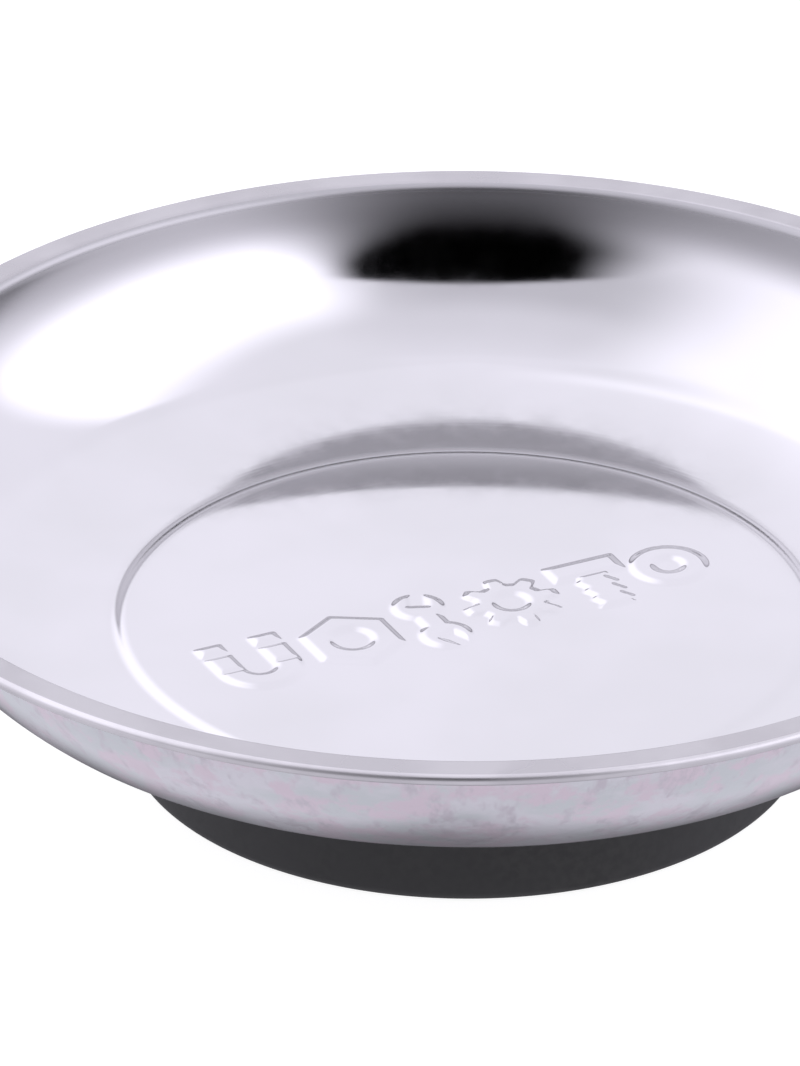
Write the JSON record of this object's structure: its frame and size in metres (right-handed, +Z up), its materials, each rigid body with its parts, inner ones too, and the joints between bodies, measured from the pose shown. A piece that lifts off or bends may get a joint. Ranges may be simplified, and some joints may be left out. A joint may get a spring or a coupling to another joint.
{
  "type": "magnetic parts tray",
  "caption": "Round pressed stainless dish with a hemmed lip, curved wall and raised centre disc, standing on a rubber-booted ring magnet.",
  "frame": {"origin": "centre of the base's underside, on the surface that the tray stands on", "axes": "+Z up through the centre of the bowl, which is the axis of rotation; +X and +Y are equivalent"},
  "size_m": [0.15, 0.15, 0.0361],
  "materials": {
    "stainless_steel": "bright satin, polished inside",
    "black_rubber": "matte moulded rubber",
    "ferrite": "ground sintered ferrite",
    "zinc_plated_steel": "bright zinc plating"
  },
  "bodies": {
    "root": {"dish": "stainless_steel", "weld_stud": "stainless_steel", "magnet_ring": "ferrite", "pole_plate": "zinc_plated_steel", "rubber_boot": "black_rubber", "flat_washer": "zinc_plated_steel", "spring_washer": "zinc_plated_steel", "hex_nut": "zinc_plated_steel"}
  },
  "joints": []
}
